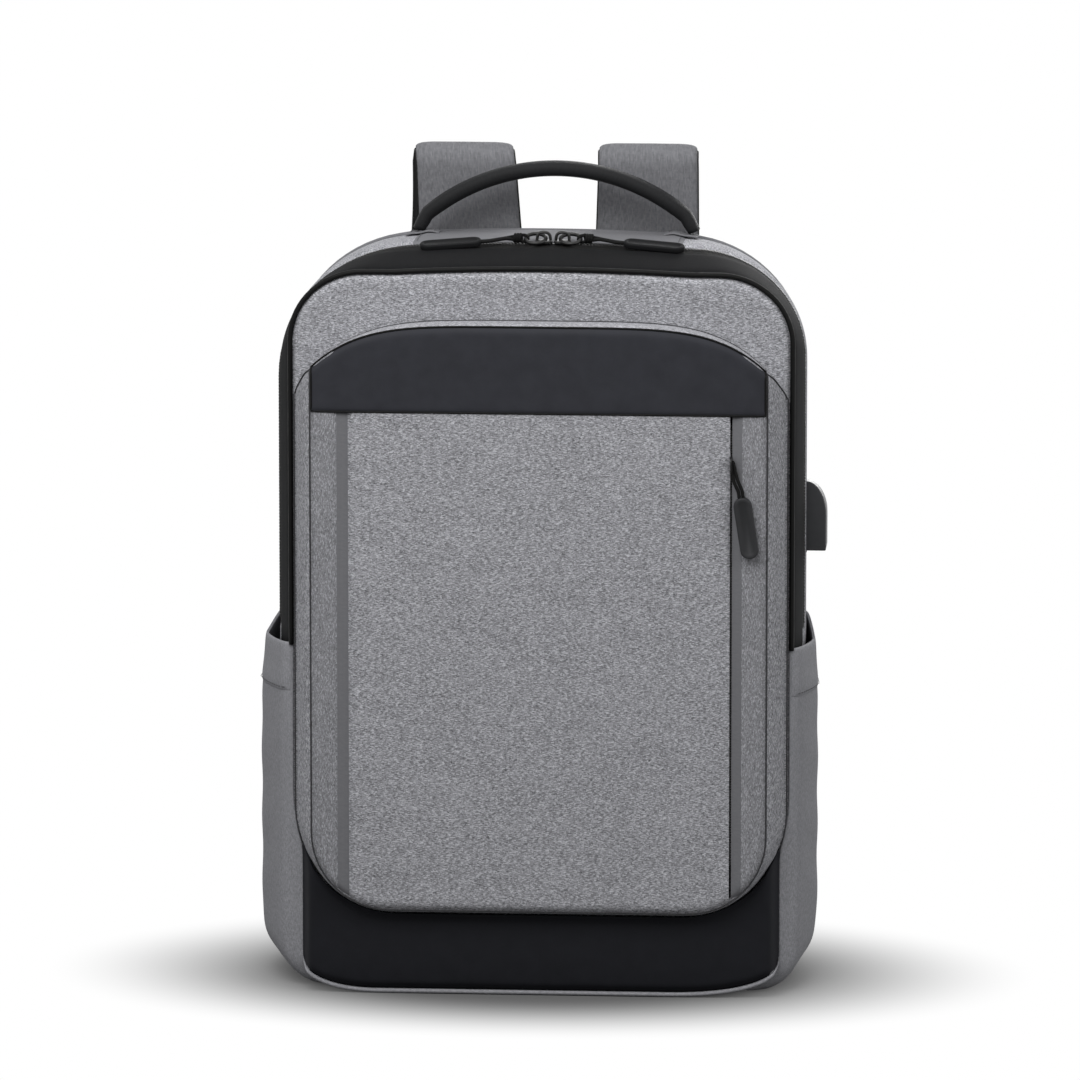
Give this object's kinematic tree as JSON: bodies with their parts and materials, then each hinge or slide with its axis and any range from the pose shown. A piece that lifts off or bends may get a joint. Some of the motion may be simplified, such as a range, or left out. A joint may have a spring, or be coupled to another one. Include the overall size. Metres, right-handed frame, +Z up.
{
  "type": "laptop backpack",
  "caption": "Upright laptop backpack in grey melange cloth with dark trims, an arched front pocket, side pockets, a carry handle, shoulder straps and an outside charging port.",
  "frame": {"origin": "on the floor under the middle of the base slab", "axes": "+Z up, the front faces -Y, +X to the right seen from the front"},
  "size_m": [0.3361, 0.1819, 0.4809],
  "materials": {
    "melange_cloth": "matte melange weave",
    "yoke_cloth": "matte fine weave",
    "strap_cloth": "matte melange weave",
    "coated_cloth": "satin coated cloth",
    "black_cloth": "matte fine weave",
    "zip_tape": "matte ribbed tape",
    "air_mesh": "open knitted mesh",
    "board": "matte",
    "lining": "matte lining",
    "port_plastic": "fine satin moulding",
    "steel": "bright",
    "contact_plastic": "matte",
    "webbing": "ribbed webbing",
    "piping": "satin",
    "dark_metal": "satin black",
    "cord": "braided",
    "grip_rubber": "matte",
    "handle_cover": "matte fine weave",
    "core_foam": "matte",
    "buckle_plastic": "satin moulding"
  },
  "bodies": {
    "bag": {"back_panel": "black_cloth", "back_board": "board", "back_pad_left": "air_mesh", "back_pad_right": "air_mesh", "lumbar_pad": "air_mesh", "rear_gusset": "melange_cloth", "lower_gusset": "melange_cloth", "top_yoke": "yoke_cloth", "bottom_panel": "black_cloth", "main_zip_rear_tape": "zip_tape", "laptop_divider": "lining", "power_bank_pocket": "lining", "side_pocket_left": "melange_cloth", "side_pocket_right": "melange_cloth", "side_pocket_hem_left": "melange_cloth", "side_pocket_hem_right": "melange_cloth", "usb_port_housing": "port_plastic", "usb_socket_shell": "steel", "usb_contact_tongue": "contact_plastic", "usb_back_plate": "port_plastic", "handle_tab_left": "webbing", "handle_tab_right": "webbing", "strap_riser_left": "strap_cloth", "strap_riser_right": "strap_cloth", "webbing_anchor_left": "webbing", "webbing_anchor_right": "webbing", "strap_webbing_left": "webbing", "strap_webbing_right": "webbing"},
    "front_half": {"front_panel": "melange_cloth", "front_piping": "piping", "zip_gusset": "black_cloth", "main_zip_front_tape": "zip_tape", "pocket_gusset": "melange_cloth", "pocket_panel": "melange_cloth", "pocket_side_left": "melange_cloth", "pocket_side_right": "melange_cloth", "upper_trim": "coated_cloth", "lower_trim": "coated_cloth", "pocket_zip_tape": "zip_tape"},
    "slider_left": {"zip_slider_left": "dark_metal"},
    "slider_right": {"zip_slider_right": "dark_metal"},
    "puller_left": {"pull_ring_left": "dark_metal", "pull_cord_left": "cord", "pull_grip_left": "grip_rubber"},
    "puller_right": {"pull_ring_right": "dark_metal", "pull_cord_right": "cord", "pull_grip_right": "grip_rubber"},
    "pocket_slider": {"pocket_zip_slider": "dark_metal"},
    "pocket_puller": {"pocket_pull_cord": "cord", "pocket_pull_grip": "grip_rubber"},
    "handle": {"carry_handle": "handle_cover", "handle_core": "core_foam"},
    "strap_left": {"shoulder_strap_left": "strap_cloth", "strap_mesh_left": "air_mesh", "ladder_lock_left": "buckle_plastic"},
    "strap_right": {"shoulder_strap_right": "strap_cloth", "strap_mesh_right": "air_mesh", "ladder_lock_right": "buckle_plastic"}
  },
  "joints": [
    {"name": "front_half_open", "type": "hinge", "parent": "bag", "child": "front_half", "pos_m": [0, -0.06, 0.005], "axis": [1, 0, 0], "range_deg": [0, 10]},
    {"name": "slider_left_travel", "type": "slide", "parent": "bag", "child": "slider_left", "axis": [-1, 0, 0], "range_m": [0, 0.07]},
    {"name": "slider_right_travel", "type": "slide", "parent": "bag", "child": "slider_right", "axis": [1, 0, 0], "range_m": [0, 0.07]},
    {"name": "puller_left_lift", "type": "hinge", "parent": "slider_left", "child": "puller_left", "pos_m": [-0.0015, -0.013, 0.43921], "axis": [0, 1, 0], "range_deg": [0, 90]},
    {"name": "puller_right_lift", "type": "hinge", "parent": "slider_right", "child": "puller_right", "pos_m": [0.0095, -0.013, 0.43921], "axis": [0, -1, 0], "range_deg": [0, 90]},
    {"name": "pocket_slider_travel", "type": "slide", "parent": "front_half", "child": "pocket_slider", "axis": [0, 0, -1], "range_m": [0, 0.23]},
    {"name": "pocket_puller_lift", "type": "hinge", "parent": "pocket_slider", "child": "pocket_puller", "pos_m": [0.11175, -0.0906, 0.318], "axis": [-1, 0, 0], "range_deg": [0, 90]},
    {"name": "handle_swing", "type": "hinge", "parent": "bag", "child": "handle", "pos_m": [0, 0.04, 0.44351], "axis": [1, 0, 0], "range_deg": [0, 75]},
    {"name": "strap_left_swing", "type": "hinge", "parent": "bag", "child": "strap_left", "pos_m": [-0.055, 0.0753, 0.468], "axis": [1, 0, 0], "range_deg": [0, 20], "deforming": ["strap_webbing_left"]},
    {"name": "strap_right_swing", "type": "hinge", "parent": "bag", "child": "strap_right", "pos_m": [0.055, 0.0753, 0.468], "axis": [1, 0, 0], "range_deg": [0, 20], "deforming": ["strap_webbing_right"]}
  ]
}
